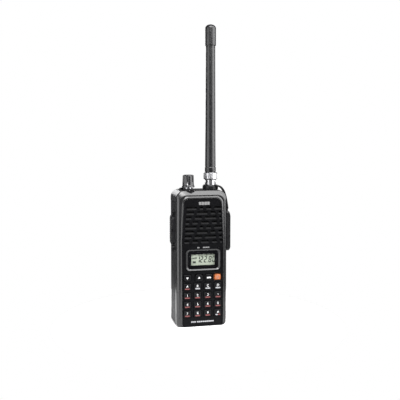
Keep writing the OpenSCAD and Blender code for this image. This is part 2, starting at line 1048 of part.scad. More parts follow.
module key_cap(x, z, w, paint) {
    color(paint) {
        plate_y(front_y + 0.25, 3)
            translate([x, z])
                rounded_rect(w, key_h, 1.1);
        plate_y(key_back_y - 0.8, 0.8)
            translate([x, z])
                rounded_rect(w + 1.6, key_h + 1.4, 1.1);
    }
}

// ---------- drawing ----------

front_case();
display_window();
lcd_panel();
light_guide();
speaker_mesh();
speaker();
microphone();
keypad_mat();
logic_board();
main_board();
chassis();
case_seal();
case_screws();
volume_pot();
volume_shaft();
volume_knob();
top_nuts();
antenna_jack();
antenna_plug();
coupling_ring();
antenna_whip();
antenna_cap();
cover_strap();
jack_cover();
jack_sockets();
side_switches();
ptt_button();
func_key();
monitor_key();
battery_case();
battery_lid();
battery_cells();
battery_terminals();
contact_pins();
battery_latch();
latch_spring();
belt_clip();
clip_bracket();
clip_pin();
clip_spring();
for (row = [0:3], col = [0:3])
    key_cap(key_x(col), key_z0 + row * key_pz, key_w, BLACK);
for (k = top_keys)
    key_cap(k[1], top_row_z, k[2], k[0] == "key_power" ? ORANGE : BLACK);
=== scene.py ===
"""Looks of a handheld VHF radio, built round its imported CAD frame.

Everything is in the row frame: +Z up, front face towards -Y. Shapes are worked out in millimetres
and turned into metres where their mesh is made.
"""
import math

import bmesh
import bpy
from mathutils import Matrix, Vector
from mathutils.geometry import tessellate_polygon


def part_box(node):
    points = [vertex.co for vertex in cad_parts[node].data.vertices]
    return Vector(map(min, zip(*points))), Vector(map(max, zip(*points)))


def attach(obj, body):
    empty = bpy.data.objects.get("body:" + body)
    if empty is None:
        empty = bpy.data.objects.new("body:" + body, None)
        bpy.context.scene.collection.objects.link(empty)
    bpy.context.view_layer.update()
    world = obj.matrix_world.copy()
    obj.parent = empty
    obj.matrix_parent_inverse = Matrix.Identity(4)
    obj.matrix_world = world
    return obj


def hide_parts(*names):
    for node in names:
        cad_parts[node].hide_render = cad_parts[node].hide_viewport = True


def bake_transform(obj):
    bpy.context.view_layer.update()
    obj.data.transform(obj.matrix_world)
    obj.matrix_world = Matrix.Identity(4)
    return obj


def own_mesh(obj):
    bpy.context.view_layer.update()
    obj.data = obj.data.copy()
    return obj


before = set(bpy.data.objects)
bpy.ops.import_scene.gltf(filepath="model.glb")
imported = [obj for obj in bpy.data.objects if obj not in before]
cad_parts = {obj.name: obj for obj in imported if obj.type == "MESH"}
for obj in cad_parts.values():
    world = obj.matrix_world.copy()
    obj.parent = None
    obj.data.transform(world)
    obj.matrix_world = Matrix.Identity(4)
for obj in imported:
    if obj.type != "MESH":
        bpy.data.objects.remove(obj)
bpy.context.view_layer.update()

MM = 0.001
scene = bpy.context.scene


def corners(node):
    """The lowest and highest corner of a CAD node, in millimetres."""
    low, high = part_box(node)
    return low / MM, high / MM


def middle(node):
    low, high = corners(node)
    return (low + high) / 2


BODY_LOW, BODY_HIGH = corners("front_case")
WINDOW_LOW, WINDOW_HIGH = corners("display_window")
KNOB_LOW, KNOB_HIGH = corners("volume_knob")
WHIP_LOW, WHIP_HIGH = corners("antenna_whip")
CAP_LOW, CAP_HIGH = corners("antenna_cap")

HALF_W = BODY_HIGH.x
FRONT = BODY_LOW.y                  # crest of the bezel
BACK = BODY_HIGH.y
TOP = 139.0                         # top face of the case
PANEL = FRONT + 0.8                 # loudspeaker panel
KEY_PANEL = FRONT + 1.2             # keypad panel
INSIDE = corners("speaker_mesh")[0].y   # inner face of the front wall
SEAM = -8.6                         # the front case ends here
CAP_Z = 127.4                       # underside of the top part of the case
WAIST = 88                          # the panel grows narrower above this height
FOOT_R = 4.2                        # corners of the body's outline
SHOULDER_R = 8
INK = 0.03                          # how far print stands off its surface
KNOB_AXIS = (middle("volume_knob").x, middle("volume_knob").y)
WHIP_AXIS = (middle("antenna_whip").x, middle("antenna_whip").y)


# ---------- camera, floor and light ----------

def add_camera():
    """The camera at the photo's viewing angle."""
    data = bpy.data.cameras.new("camera")
    data.lens = 56.87
    data.sensor_width = 36
    data.shift_x = 0.0046
    camera = bpy.data.objects.new("camera", data)
    camera.location = (-0.1455, -0.6321, 0.1879)
    camera.rotation_euler = (math.radians(84.73), 0, math.radians(-12.96))
    scene.collection.objects.link(camera)
    scene.camera = camera


def add_area(name, place, aim, size, watts):
    data = bpy.data.lights.new(name, "AREA")
    data.shape = "RECTANGLE"
    data.size, data.size_y = size
    data.energy = watts
    light = bpy.data.objects.new(name, data)
    light.location = place
    light.rotation_euler = (Vector(aim) - Vector(place)).to_track_quat("-Z", "Y").to_euler()
    light.visible_camera = False
    scene.collection.objects.link(light)


def add_studio():
    """A dim white room that the camera sees as plain paper, a soft sun and four softboxes."""
    world = bpy.data.worlds.new("studio")
    world.use_nodes = True
    tree = world.node_tree
    room = tree.nodes["Background"]
    room.inputs["Color"].default_value = (1, 1, 1, 1)
    room.inputs["Strength"].default_value = 0.12
    paper = tree.nodes.new("ShaderNodeBackground")
    paper.inputs["Color"].default_value = (1, 1, 1, 1)
    path = tree.nodes.new("ShaderNodeLightPath")
    either = tree.nodes.new("ShaderNodeMixShader")
    tree.links.new(path.outputs["Is Camera Ray"], either.inputs["Fac"])
    tree.links.new(room.outputs[0], either.inputs[1])
    tree.links.new(paper.outputs[0], either.inputs[2])
    tree.links.new(either.outputs[0], tree.nodes["World Output"].inputs["Surface"])
    scene.world = world
    scene.view_settings.view_transform = "Standard"
    sun = bpy.data.lights.new("sun", "SUN")
    sun.energy = 3.0
    sun.angle = math.radians(30)
    lamp = bpy.data.objects.new("sun", sun)
    lamp.rotation_euler = (math.radians(40), 0, math.radians(-20))
    scene.collection.objects.link(lamp)
    add_area("softbox_top", (0.1, -0.4, 0.72), (0, 0, 0.12), (0.9, 0.7), 17)
    add_area("softbox_left", (-0.66, -0.24, 0.15), (0, 0, 0.08), (0.7, 0.7), 6)
    add_area("softbox_right", (0.6, -0.3, 0.34), (0, 0, 0.34), (0.75, 0.6), 10)
    add_area("softbox_back", (-0.12, 0.75, 0.35), (0, 0, 0.12), (0.35, 0.3), 1.0)


def add_floor():
    """A round sheet of pale paper."""
    radius, count = 0.15, 120
    rim = arc(0, 0, radius, 0, 360 - 360 / count, count - 1)
    mesh = bpy.data.meshes.new("floor")
    mesh.from_pydata([(x, y, 0) for x, y in rim], [], [list(range(count))])
    floor = bpy.data.objects.new("floor", mesh)
    scene.collection.objects.link(floor)
    mesh.materials.append(
        paint("floor_paper", (0.75, 0.75, 0.75), 0.8, mottle=0.01, grain=2, relief=0.01))


# ---------- finishes ----------

PATCH = 7                             # size of the colour patches
WEAR = 2.5                            # size of the glossier and duller spots
NOISE_LOW, NOISE_HIGH = 0.3, 0.7      # the useful range of a noise texture


def paint(name, colour, rough, metal=0.0, grain=0.45, relief=0.02, spread=0.08, mottle=0.18,
          sockets=None):
    """A procedural finish: mottled colour, uneven roughness and a moulded grain, in millimetres."""
    material = bpy.data.materials.new(name)
    material.use_nodes = True
    tree = material.node_tree
    shader = tree.nodes["Principled BSDF"]
    shader.inputs["Metallic"].default_value = metal
    for socket, value in (sockets or {}).items():
        shader.inputs[socket].default_value = value
    where = tree.nodes.new("ShaderNodeTexCoord").outputs["Object"]

    def noise(size, detail):
        node = tree.nodes.new("ShaderNodeTexNoise")
        node.inputs["Scale"].default_value = 1 / (size * MM)
        node.inputs["Detail"].default_value = detail
        tree.links.new(where, node.inputs["Vector"])
        return node.outputs["Fac"]

    patches = tree.nodes.new("ShaderNodeValToRGB")
    patches.color_ramp.elements[0].position = NOISE_LOW
    patches.color_ramp.elements[1].position = NOISE_HIGH
    for element, share in zip(patches.color_ramp.elements, (1 - mottle, 1 + mottle)):
        element.color = [min(1, c * share) for c in colour] + [1]
    tree.links.new(noise(PATCH, 4), patches.inputs["Fac"])
    tree.links.new(patches.outputs["Color"], shader.inputs["Base Color"])

    uneven = tree.nodes.new("ShaderNodeMapRange")
    uneven.inputs["From Min"].default_value = NOISE_LOW
    uneven.inputs["From Max"].default_value = NOISE_HIGH
    uneven.inputs["To Min"].default_value = max(0.02, rough - spread)
    uneven.inputs["To Max"].default_value = min(1, rough + spread)
    tree.links.new(noise(WEAR, 3), uneven.inputs["Value"])
    tree.links.new(uneven.outputs["Result"], shader.inputs["Roughness"])

    bump = tree.nodes.new("ShaderNodeBump")
    bump.inputs["Strength"].default_value = 0.5
    bump.inputs["Distance"].default_value = relief * MM
    tree.links.new(noise(grain, 2), bump.inputs["Height"])
    tree.links.new(bump.outputs["Normal"], shader.inputs["Normal"])
    return material


SPEC = "Specular IOR Level"
FINISHES = {
    # the case
    "case_black": dict(colour=(0.005, 0.005, 0.0055), rough=0.3, spread=0.04, mottle=0.1,
                       sockets={SPEC: 0.5}),
    "panel_black": dict(colour=(0.0018, 0.0018, 0.0022), rough=0.45, relief=0.015, sockets={SPEC: 0.06}),
    "chassis_grey": dict(colour=(0.01, 0.01, 0.011), rough=0.48, sockets={SPEC: 0.16}),
    "battery_black": dict(colour=(0.009, 0.009, 0.01), rough=0.5, sockets={SPEC: 0.14}),
    # knob and keys
    "knob_black": dict(colour=(0.005, 0.005, 0.006), rough=0.26, sockets={SPEC: 0.5}),
    "key_black": dict(colour=(0.0025, 0.0025, 0.003), rough=0.42, sockets={SPEC: 0.12}),
    "key_orange": dict(colour=(0.24, 0.068, 0.02), rough=0.5, mottle=0.06, sockets={SPEC: 0.3}),
    # display
    "mask_black": dict(colour=(0.0015, 0.0015, 0.002), rough=0.35, relief=0.002, sockets={SPEC: 0.06}),
    "window": dict(colour=(0.01, 0.01, 0.01), rough=0.12, relief=0.0005, spread=0.02, mottle=0.02,
                   sockets={"Alpha": 0.04, SPEC: 0.2}),
    "lcd": dict(colour=(0.22, 0.245, 0.2), rough=0.5, relief=0.003, mottle=0.03, sockets={SPEC: 0.3}),
    "lcd_ink": dict(colour=(0.02, 0.025, 0.02), rough=0.5, relief=0.002, sockets={SPEC: 0.2}),
    "light_guide": dict(colour=(0.8, 0.82, 0.78), rough=0.4, mottle=0.03),
    # inside, and metal parts
    "cloth": dict(colour=(0.008, 0.008, 0.008), rough=0.9, grain=0.3, relief=0.1, sockets={SPEC: 0.1}),
    "board": dict(colour=(0.02, 0.12, 0.05), rough=0.4, mottle=0.25),
    "steel": dict(colour=(0.5, 0.5, 0.52), rough=0.32, metal=1.0, relief=0.006),
    "spring_steel": dict(colour=(0.42, 0.42, 0.44), rough=0.28, metal=1.0, relief=0.005),
    "clip_steel": dict(colour=(0.014, 0.014, 0.015), rough=0.4, relief=0.01, sockets={SPEC: 0.3}),
    "chrome": dict(colour=(0.35, 0.35, 0.36), rough=0.3, metal=1.0, relief=0.003, spread=0.05, mottle=0.04),
    "brass": dict(colour=(0.72, 0.52, 0.22), rough=0.28, metal=1.0, relief=0.005),
    # rubber, small plastic parts and cells
    "rubber": dict(colour=(0.003, 0.003, 0.0035), rough=0.42, grain=0.3, relief=0.03, sockets={SPEC: 0.2}),
    "mat_rubber": dict(colour=(0.05, 0.05, 0.055), rough=0.7, grain=0.3, relief=0.03),
    "antenna_rubber": dict(colour=(0.003, 0.003, 0.0035), rough=0.34, grain=0.4, relief=0.02,
                           sockets={SPEC: 0.4}),
    "jack_plastic": dict(colour=(0.02, 0.02, 0.022), rough=0.5),
    "latch_plastic": dict(colour=(0.018, 0.018, 0.02), rough=0.45),
    "cell": dict(colour=(0.04, 0.1, 0.22), rough=0.35, relief=0.01, mottle=0.08),
    # print
    "print_white": dict(colour=(0.5, 0.5, 0.5), rough=0.6, relief=0.004, mottle=0.06),
    "print_red": dict(colour=(0.085, 0.013, 0.013), rough=0.6, relief=0.004, mottle=0.08),
    "print_silver": dict(colour=(0.2, 0.2, 0.21), rough=0.5, relief=0.004, mottle=0.06),
    "print_grey": dict(colour=(0.11, 0.11, 0.11), rough=0.6, relief=0.004, mottle=0.08),
}
PAINTS = {name: paint(name, **finish) for name, finish in FINISHES.items()}


# ---------- mesh tools ----------

SAME_POINT = 0.001 * MM               # points closer than this are one


class Shape:
    """Collects points in millimetres and faces, and becomes one object that rides on a body."""

    def __init__(self):
        self.points = []
        self.faces = []
        self.paints = []
        self.paint = 0

    def ring(self, points):
        """Adds points and returns their numbers."""
        first = len(self.points)
        self.points.extend(points)
        return list(range(first, len(self.points)))

    def face(self, ids):
        self.faces.append(ids)
        self.paints.append(self.paint)

    def skin(self, a, b):
        """Joins two closed rings that have the same number of points."""
        for i in range(len(a)):
            j = (i + 1) % len(a)
            self.face([a[i], a[j], b[j], b[i]])

    def loft(self, rings, start=True, end=True):
        """Skins a row of rings, and closes its two ends where asked to."""
        ids = [self.ring(points) for points in rings]
        for a, b in zip(ids, ids[1:]):
            self.skin(a, b)
        if start:
            self.face(ids[0][::-1])
        if end:
            self.face(ids[-1])
        return ids

    def plate(self, outer, holes):
        """Fills the flat face between one ring and the rings inside it."""
        loops = [outer] + holes
        flat = [i for loop in loops for i in loop]
        edges = [[Vector(self.points[i]) for i in loop] for loop in loops]
        for triangle in tessellate_polygon(edges):
            self.face([flat[k] for k in triangle])

    def add_mesh(self, points, faces):
        first = len(self.points)
        self.points.extend(points)
        for ids in faces:
            self.face([first + i for i in ids])

    def build(self, name, body, paints, slot, replaces=(), sharp=38, blend=None):
        """Makes the object, with its finishes, even shading and place in the frame."""
        mesh = bpy.data.meshes.new(name)
        mesh.from_pydata([[c * MM for c in p] for p in self.points], [], self.faces)
        for key in paints:
            mesh.materials.append(PAINTS[key])
        mesh.polygons.foreach_set("material_index", self.paints)
        work = bmesh.new()
        work.from_mesh(mesh)
        bmesh.ops.remove_doubles(work, verts=work.verts, dist=SAME_POINT)
        bmesh.ops.recalc_face_normals(work, faces=work.faces)
        work.to_mesh(mesh)
        work.free()
        mesh.shade_smooth()
        mesh.set_sharp_from_angle(angle=math.radians(sharp))
        piece = bpy.data.objects.new(name, mesh)
        scene.collection.objects.link(piece)
        normals = piece.modifiers.new("normals", "WEIGHTED_NORMAL")
        normals.keep_sharp = True
        if blend:
            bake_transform(piece)
        else:
            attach(piece, body)
        if replaces:
            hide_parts(*replaces)
        return piece


def arc(cx, cy, r, start, end, steps):
    """Points of a circular arc, with angles in degrees."""
    angles = [math.radians(start + (end - start) * i / steps) for i in range(steps + 1)]
    return [(cx + r * math.cos(a), cy + r * math.sin(a)) for a in angles]


def mirrored(right):
    """The left half of an outline, from its right half."""
    return [(-u, v) for u, v in reversed(right)]


def outline(half_low, half_top, low, high, r_low, r_high):
    """A closed outline: two rounded feet, two rounded shoulders and a finely cut top edge."""
    steps, top_steps = 8, 48
    right = arc(half_low - r_low, low + r_low, r_low, -90, 0, steps)
    right += [(half_low, WAIST)]
    right += arc(half_top - r_high, high - r_high, r_high, 0, 90, steps)
    reach = half_top - r_high
    top = [(reach - 2 * reach * i / top_steps, high) for i in range(1, top_steps)]
    return right + top + mirrored(right)


def rounded(cu, cv, w, h, r, steps=5, r_top=None):
    """A rounded rectangle, anticlockwise, with its middle at (cu, cv). r_top is for its upper corners."""
    top = r if r_top is None else r_top
    points = arc(cu + w / 2 - r, cv - h / 2 + r, r, -90, 0, steps)
    points += arc(cu + w / 2 - top, cv + h / 2 - top, top, 0, 90, steps)
    points += arc(cu - w / 2 + top, cv + h / 2 - top, top, 90, 180, steps)
    points += arc(cu - w / 2 + r, cv - h / 2 + r, r, 180, 270, steps)
    return points


def at_y(points, y):
    """Stands a flat outline up at a depth."""
    return [(u, y, v) for u, v in points]


def lathe(axis, profile, count, wave=None):
    """Rings of a profile of (radius, height) pairs about a vertical axis. wave adds to the radius."""
    rings = []
    for r, z in profile:
        ring = []
        for i in range(count):
            turn = math.radians(360 * i / count)
            reach = r + (wave(turn, r, z) if wave else 0)
            ring.append((axis[0] + reach * math.cos(turn), axis[1] + reach * math.sin(turn), z))
        rings.append(ring)
    return rings


# ---------- front case ----------

GRILLE_ROWS = 8
GRILLE_PITCH = 4.84                   # from one row of slots to the next
GRILLE_TOP = 122.4                    # height of the top row
GRILLE_ENDS = (-15.8, 19.4)           # where the top row starts and ends
GRILLE_GROWTH = (0.32, 0.2)           # the rows grow longer towards the display
BRIDGE = 3.5                          # solid panel between two slots of a row
BREAKS = [[-4.1, 2.5, 11.1], [-6.9, 7.2, 15.3], [-9.3, 1.4, 16.2], [-11.6, -2.7, 8.6, 17]]
SLOT_H = 1.7
KEYS = [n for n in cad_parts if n.startswith("key_")]
MIC = (17.9, 80.9)                    # microphone hole
PANEL_X = 0.6                         # middle of the panel
LOW_PANEL_TOP = 85.5                  # the keypad panel ends here


def slots():
    """Middle and width of every grille slot, row by row: (x, z, width)."""
    found = []
    for row in range(GRILLE_ROWS):
        cuts = BREAKS[row % len(BREAKS)]
        starts = [GRILLE_ENDS[0] - row * GRILLE_GROWTH[0]] + [c + BRIDGE / 2 for c in cuts]
        ends = [c - BRIDGE / 2 for c in cuts] + [GRILLE_ENDS[1] + row * GRILLE_GROWTH[1]]
        z = GRILLE_TOP - row * GRILLE_PITCH
        found += [((a + b) / 2, z, b - a) for a, b in zip(starts, ends)]
    return found


def scoop(point):
    """Cuts the finger scoop in front of the volume knob into the top edge."""
    x, y, z = point
    radius = 6.3
    centre_x, centre_z = KNOB_AXIS[0] + 0.6, TOP + 4.1
    start_y, run_out = -9.5, 3
    off = x - centre_x
    if abs(off) >= radius:
        return point
    floor = centre_z - math.sqrt(radius * radius - off * off)
    fade = min(1, max(0, (start_y - y) / run_out))
    return (x, y, z - max(0, z - floor) * fade)


def well(shape, rim, bottom, y, chamfer_y):
    """A hole from the panel at y, over a chamfer, to the inner face. Returns its first and last ring."""
    rings = [at_y(rim, y), at_y(bottom, chamfer_y), at_y(bottom, INSIDE)]
    ids = shape.loft(rings, start=False, end=False)
    return ids[0], ids[-1]


def louvre(shape, x, z, width):
    """One grille slot with a long lip below it that faces upwards. Returns its first and last ring."""
    lip = 1.35
    middle_z = z - lip / 2
    slot = rounded(x, z, width, SLOT_H, 0.5, 4)
    rings = [at_y(rounded(x, middle_z, width + 0.7, SLOT_H + lip + 0.3, 0.9, 4), PANEL),
             at_y(rounded(x, middle_z + 0.15, width + 0.35, SLOT_H + lip - 0.2, 0.7, 4), PANEL + 0.35),
             at_y(slot, PANEL + 0.75),
             at_y(slot, INSIDE)]
    ids = shape.loft(rings, start=False, end=False)
    return ids[0], ids[-1]


# The bezel from the seam to the panel: (share of the way in, y). Its sides turn early and stay flat
# up to the inner bead. Its top and bottom slope all the way, then dip before the bead.
SIDE_PROFILE = [(0, SEAM), (0, -11), (0, -13.94), (0.014, -14.76), (0.056, -15.55), (0.124, -16.27),
                (0.216, -16.91), (0.328, -17.43), (0.42, -17.72), (0.52, -17.8), (0.62, -17.76),
                (0.69, -17.76), (0.76, -18.02), (0.83, -18.36), (0.88, -18.5), (0.93, -18.46),
                (0.97, -18.15), (1.0, -17.75)]
END_PROFILE = [(0, SEAM), (0, -11), (0, -14.2), (0, -14.9), (0.02, -15.3), (0.06, -15.62),
               (0.20, -16.3), (0.36, -17.1), (0.50, -17.8), (0.57, -18.1), (0.62, -18.05),
               (0.66, -17.75), (0.70, -17.55), (0.78, -18.05), (0.85, -18.44), (0.90, -18.5),
               (0.97, -18.2), (1.0, -17.75)]


def upright(point):
    """0 where the body's outline is a side, 1 where it is the top or bottom edge, between at corners."""
    u, v = point
    if v > WAIST:
        rise, reach = v - (TOP - SHOULDER_R), abs(u) - (HALF_W - SHOULDER_R)
    else:
        rise, reach = FOOT_R - v, abs(u) - (HALF_W - FOOT_R)
    if reach <= 0:
        return 1.0
    if rise <= 0:
        return 0.0
    return math.sin(math.atan2(rise, reach)) ** 1.5


def bezel(shape, body, panel):
    """The outside, from the seam round the edge and over the bead. Returns its first and last ring."""
    rings = []
    for side, ends in zip(SIDE_PROFILE, END_PROFILE):
        ring = []
        for a, b in zip(body, panel):
            level = upright(a)
            share, y = (p + (q - p) * level for p, q in zip(side, ends))
            ring.append(scoop((a[0] + (b[0] - a[0]) * share, y, a[1] + (b[1] - a[1]) * share)))
        rings.append(ring)
    ids = shape.loft(rings, start=False, end=False)
    return ids[0], ids[-1]


def key_well(shape, name):
    """The opening of one key, a little smaller than the key's flange."""
    low, high = corners(name)
    x, z = (low.x + high.x) / 2, (low.z + high.z) / 2
    w, h = high.x - low.x - 0.8, high.z - low.z - 0.6
    rim = rounded(x, z - 0.08, w + 0.5, h + 0.66, 1.7, 4)
    return well(shape, rim, rounded(x, z, w, h, 1.45, 4), KEY_PANEL, KEY_PANEL + 0.3)


def microphone_hole(shape):
    rim, hole = (arc(*MIC, r, 0, 337.5, 15) for r in (0.95, 0.62))
    return well(shape, rim, hole, KEY_PANEL, KEY_PANEL + 0.25)


def display_frame(shape):
    """The raised frame of the display, which sinks into the panel along its upper edge."""
    cx, cz, w, h = window_size()
    opening = (27.5, 14, 0.6)
    seat = (w + 0.2, h + 0.2, 2.5)
    profile = [(36, 21.6, 4, KEY_PANEL), (35.9, 21.5, 3.95, -17.7), (35.75, 21.4, 3.9, -18.05),
               (35.4, 21.2, 3.7, -18.25), (35.0, 21.0, 3.5, -18.3), (34.6, 20.75, 3.4, -18.22),
               (32.4, 19.0, 2.8, -17.4), (*seat, -17.2), (*seat, -16.9), (*opening, -16.9),
               (*opening, INSIDE)]
    sunk_band = 4
    proud = KEY_PANEL - 0.45
    rings = []
    for fw, fh, r, y in profile:
        ring = []
        for u, v in rounded(cx, cz, fw, fh, r, 6):
            share = min(1, max(0, (v - cz - fh / 2 + sunk_band) / sunk_band))
            ring.append((u, y + share * max(0, proud - y), v))
        rings.append(ring)
    ids = shape.loft(rings, start=False, end=False)
    return ids[0], ids[-1]


def front_case():
    """Bezel, loudspeaker panel, keypad panel and the solid top, as one piece."""
    shape = Shape()
    wall = 1.8
    body = outline(HALF_W, HALF_W, 0, TOP, FOOT_R, SHOULDER_R)
    panel = [(u + PANEL_X, v) for u, v in outline(21, 19.2, 0.9, 131.2, 2, 6.2)]
    inner = outline(HALF_W - wall, HALF_W - wall, wall, TOP - wall, 1.6, 6.2)
    seam_ring, bead_ring = bezel(shape, body, panel)

    # loudspeaker panel, with its slots and the rim of the keypad panel
    shape.paint = 1
    panel_ring = shape.ring(at_y(panel, PANEL))
    shape.skin(bead_ring, panel_ring)
    openings = [louvre(shape, x, z - 0.35, width) for x, z, width in slots()]
    rims = [first for first, last in openings]
    floors = [last for first, last in openings]
    foot, crown = 1.9, LOW_PANEL_TOP
    low_panel = rounded(PANEL_X, (foot + crown) / 2, 41.6, crown - foot, 1.5, 6, r_top=5)
    foot, crown = foot + 0.2, crown - 0.4
    low_floor = rounded(PANEL_X, (foot + crown) / 2, 41.3, crown - foot, 1.3, 6, r_top=4.8)
    low_rim = shape.ring(at_y(low_panel, PANEL))
    low_ring = shape.ring(at_y(low_floor, KEY_PANEL))
    shape.skin(low_rim, low_ring)
    shape.plate(panel_ring, rims + [low_rim])

    # keypad panel: key wells, microphone hole and the frame of the display
    openings = [key_well(shape, name) for name in KEYS] + [microphone_hole(shape)]
    shape.paint = 0
    openings.append(display_frame(shape))
    shape.paint = 1
    shape.plate(low_ring, [first for first, last in openings])
    floors += [last for first, last in openings]

    # inside wall and the back of the front wall
    shape.paint = 0
    edge = shape.ring(at_y(inner, SEAM))
    deep = shape.ring(at_y(inner, INSIDE))
    shape.skin(seam_ring, edge)
    shape.skin(edge, deep)
    shape.plate(deep, floors)
    top_part(shape)
    guard(shape)
    shape.build("front_case_form", "radio", ["case_black", "panel_black"], "case_black", ["front_case"])


def top_part(shape):
    """The solid top of the case behind the seam, rounded towards the back."""
    bend, steps = 4.2, 8

    def ring(inset, y):
        w, r = HALF_W - inset, SHOULDER_R - inset * 0.8
        right = [(w, CAP_Z)] + arc(w - r, TOP - inset - r, r, 0, 90, 10)
        return at_y(right + mirrored(right), y)

    rings = [ring(0, SEAM + 0.02), ring(0, 0), ring(0, BACK - bend)]
    for i in range(1, steps + 1):
        a = math.radians(90 * i / steps)
        rings.append(ring(bend * (1 - math.cos(a)), BACK - bend + bend * math.sin(a)))
    shape.loft(rings)


def guard(shape):
    """The raised collar behind the knob, which ends low at both ends."""
    root = TOP - 0.5
    section = [(7.4, root), (7.4, 140.9), (7.7, 141.3), (8.6, 141.3), (9.15, 140.9), (9.4, 140.2),
               (9.4, root)]
    first_angle, sweep, count = 74, 124, 40
    fall, run_out = 2.2, 5
    rings = []
    for i in range(count + 1):
        share = i / count
        turn = math.radians(first_angle + sweep * share)
        drop = fall * (1 - min(1, run_out * min(share, 1 - share)))
        ring = []
        for r, z in section:
            height = max(root, z - drop)
            ring.append((KNOB_AXIS[0] + r * math.cos(turn), KNOB_AXIS[1] + r * math.sin(turn), height))
        rings.append(ring)
    shape.loft(rings)


# ---------- display ----------

WINDOW_R = 2.4                        # corners of the pane
READING = "12280"                     # digits on the LCD, with the point before the fourth
POINT_BEFORE = 3
DIGIT = (3.2, 6.6)                    # width and height of a digit
DIGIT_PITCH = 3.95
NARROW_ONE = 0.86                     # share of the pitch that a 1 takes
SEGMENTS = {"0": "abcdef", "1": "bc", "2": "abged", "8": "abcdefg"}


def window_size():
    """Middle, width and height of the display's pane."""
    size = WINDOW_HIGH - WINDOW_LOW
    return (WINDOW_LOW.x + WINDOW_HIGH.x) / 2, (WINDOW_LOW.z + WINDOW_HIGH.z) / 2, size.x, size.z


def display_window():
    """The clear pane, with a black border printed on its back."""
    cx, cz, w, h = window_size()
    face = -17.45
    front, back = face + 0.52, face + 0.9
    outer, view = rounded(cx, cz, w, h, WINDOW_R), rounded(cx, cz, 24.5, 11.2, 0.7)
    pane = Shape()
    pane.loft([at_y(outer, face + 0.5), at_y(outer, face + 0.15),
               at_y(rounded(cx, cz, w - 0.25, h - 0.25, WINDOW_R - 0.1), face)])
    pane.paint = 1
    ids = pane.loft([at_y(view, back), at_y(view, front), at_y(outer, front), at_y(outer, back)],
                    start=False, end=False)
    pane.skin(ids[-1], ids[0])
    pane.build("display_window_form", "radio", ["window", "mask_black"], "window", ["display_window"])


def lcd_digits():
    """A generic reading, with a level mark and two small flags beside it."""
    cx, cz = window_size()[:2]
    ink = Shape()
    y = corners("lcd_panel")[0].y - INK
    foot = cz - DIGIT[1] / 2
    x = cx - 6.5
    for k, digit in enumerate(READING):
        if k == POINT_BEFORE:
            bar(ink, x - 0.45, foot + 0.1, 0.7, 0.7, y)
            x += 0.9
        seven_segments(ink, x, foot, digit, y)
        x += DIGIT_PITCH * (NARROW_ONE if digit == "1" else 1)
    for k in range(4):
        bar(ink, cx - 11.3 + k * 1.3, cz + 0.6, 0.95, 1.0 + 0.35 * k, y)
    bar(ink, cx - 10.4, cz - 3.6, 3.2, 2.0, y)
    bar(ink, cx + 3.4, cz + 3.9, 1.6, 1.0, y)
    ink.build("lcd_digits", "radio", ["lcd_ink"], "lcd")


def bar(shape, x, z, w, h, y, r=0.12):
    """A printed bar with its lower left corner at (x, z)."""
    points = rounded(x + w / 2, z + h / 2, w, h, min(r, w / 3, h / 3), 2)
    shape.loft([at_y(points, y), at_y(points, y + INK)])


def seven_segments(shape, x, z, digit, y):
    """One slanted seven-segment digit, with its lower left corner at (x, z)."""
    w, h = DIGIT
    thick, gap, slant = 1.05, 0.06, 0.1
    half = h / 2
    sides = {"f": (0, half), "b": (w - thick, half), "e": (0, 0), "c": (w - thick, 0)}
    rungs = {"a": h - thick, "g": half - thick / 2, "d": 0}
    for name in SEGMENTS[digit]:
        if name in rungs:
            v = rungs[name]
            tip, end = thick * 0.3 + gap, thick + gap
            edge = [(tip, v + thick / 2), (end, v + thick), (w - end, v + thick),
                    (w - tip, v + thick / 2), (w - end, v), (end, v)]
        else:
            u, v = sides[name]
            end = thick * 0.7 + gap
            edge = [(u + thick / 2, v + gap), (u + thick, v + end), (u + thick, v + half - end),
                    (u + thick / 2, v + half - gap), (u, v + half - end), (u, v + end)]
        points = [(x + u + slant * v, z + v) for u, v in edge]
        shape.loft([at_y(points, y), at_y(points, y + INK)])


# ---------- keys ----------

LEGENDS = {"key_star": "*", "key_hash": "#"}
KEY_R = 1.1                           # corners of a key
ROUND_KEYS = {"key_down": (2.7, KEY_R), "key_up": (KEY_R, 2.7)}   # (lower, upper) corners
DOME = 0.22                           # how far the middle of a key stands above its edge
MARK_LIFT = 0.035                     # print above the face of a key


def glyph(text, height):
    """Flat outline mesh of a character: points (u, v) about its middle, and faces."""
    size_per_height = 1.38
    curve = bpy.data.curves.new("glyph", "FONT")
    curve.body = text
    curve.size = height * size_per_height
    curve.resolution_u = 3
    holder = bpy.data.objects.new("glyph", curve)
    mesh = bpy.data.meshes.new_from_object(holder)
    points = [(v.co.x, v.co.y) for v in mesh.vertices]
    faces = [list(p.vertices) for p in mesh.polygons]
    bpy.data.objects.remove(holder)
    bpy.data.curves.remove(curve)
    bpy.data.meshes.remove(mesh)
    us, vs = [p[0] for p in points], [p[1] for p in points]
    cu, cv = (min(us) + max(us)) / 2, (min(vs) + max(vs)) / 2
    return [(u - cu, v - cv) for u, v in points], faces


